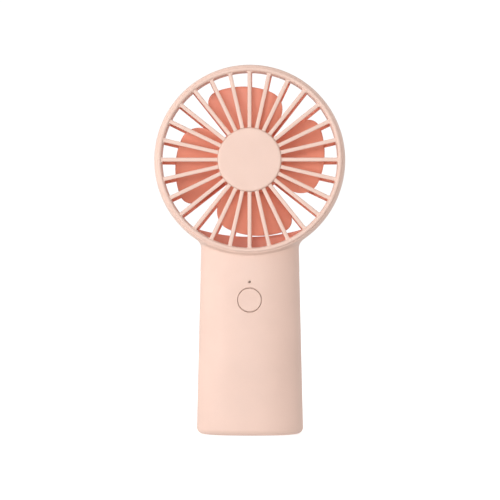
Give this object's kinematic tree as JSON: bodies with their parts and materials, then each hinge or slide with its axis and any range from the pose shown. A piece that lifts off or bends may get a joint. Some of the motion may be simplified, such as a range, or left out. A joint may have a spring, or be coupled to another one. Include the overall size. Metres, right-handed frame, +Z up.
{
  "type": "handheld electric fan",
  "caption": "Handheld battery fan: round caged head with radial ribs and wide blades on an oval handle with one push button and a rear charging port.",
  "frame": {"origin": "middle of the flat base of the handle", "axes": "+Z up the handle to the head, -Y out of the front grille, +X to the right of someone facing the front grille"},
  "size_m": [0.096, 0.036, 0.186],
  "materials": {
    "shell_pink": "fine matt moulded plastic",
    "coral_plastic": "fine matt moulded plastic",
    "light_pipe_clear": "milky clear plastic",
    "foot_rubber": "soft matt rubber",
    "rotor_steel": "plain drawn steel",
    "bright_steel": "bright plated steel",
    "magnet_ferrite": "dark bonded ferrite",
    "lamination_steel": "stamped laminations",
    "coil_copper": "enamelled copper wire",
    "tube_brass": "turned brass",
    "board_green": "green circuit board",
    "black_plastic": "black moulded plastic",
    "inductor_ferrite": "dark grey ferrite",
    "capacitor_can": "bright aluminium can",
    "white_plastic": "white moulded plastic",
    "cell_wrap": "steel cell in a blue plastic sleeve",
    "strip_nickel": "thin nickel strip",
    "red_insulation": "wire insulation"
  },
  "bodies": {
    "housing": {"front_shell": "shell_pink", "rear_shell": "shell_pink", "front_grille": "shell_pink", "front_hub_cap": "shell_pink", "rear_grille": "coral_plastic", "rear_hub_cap": "coral_plastic", "base_pad": "foot_rubber", "led_light_pipe": "light_pipe_clear", "led_chip": "white_plastic", "bearing_tube": "tube_brass", "bearing_front": "rotor_steel", "bearing_rear": "rotor_steel", "stator_core": "lamination_steel", "motor_board": "board_green", "motor_base": "white_plastic", "switch_body": "black_plastic", "main_board": "board_green", "control_chip": "black_plastic", "power_inductor": "inductor_ferrite", "storage_capacitor": "capacitor_can", "board_screw_1": "bright_steel", "board_screw_2": "bright_steel", "battery_cell_left": "cell_wrap", "battery_cell_right": "cell_wrap", "battery_holder": "white_plastic", "battery_strip_top": "strip_nickel", "battery_strip_left": "strip_nickel", "battery_strip_right": "strip_nickel", "charge_board": "board_green", "usb_c_shell": "bright_steel", "usb_c_tongue": "black_plastic", "motor_lead_red": "red_insulation", "motor_lead_black": "black_plastic", "battery_lead_red": "red_insulation", "battery_lead_black": "black_plastic", "stator_winding_1": "coil_copper", "stator_winding_2": "coil_copper", "stator_winding_3": "coil_copper", "stator_winding_4": "coil_copper", "stator_winding_5": "coil_copper", "stator_winding_6": "coil_copper", "motor_screw_1": "bright_steel", "motor_screw_2": "bright_steel", "motor_screw_3": "bright_steel", "case_screw_1": "bright_steel", "case_screw_2": "bright_steel", "case_screw_3": "bright_steel", "case_screw_4": "bright_steel"},
    "impeller": {"impeller": "coral_plastic", "rotor_cup": "rotor_steel", "rotor_magnet": "magnet_ferrite", "motor_shaft": "bright_steel"},
    "button": {"power_button": "shell_pink", "switch_plunger": "white_plastic"}
  },
  "joints": [
    {"name": "fan_spin", "type": "hinge", "parent": "housing", "child": "impeller", "pos_m": [0, 0, 0.138], "axis": [0, 1, 0], "continuous": true},
    {"name": "button_press", "type": "slide", "parent": "housing", "child": "button", "axis": [0, 1, 0], "range_m": [0, 0.0006], "stiffness_N_per_m": 600, "springref_m": -0.001}
  ]
}
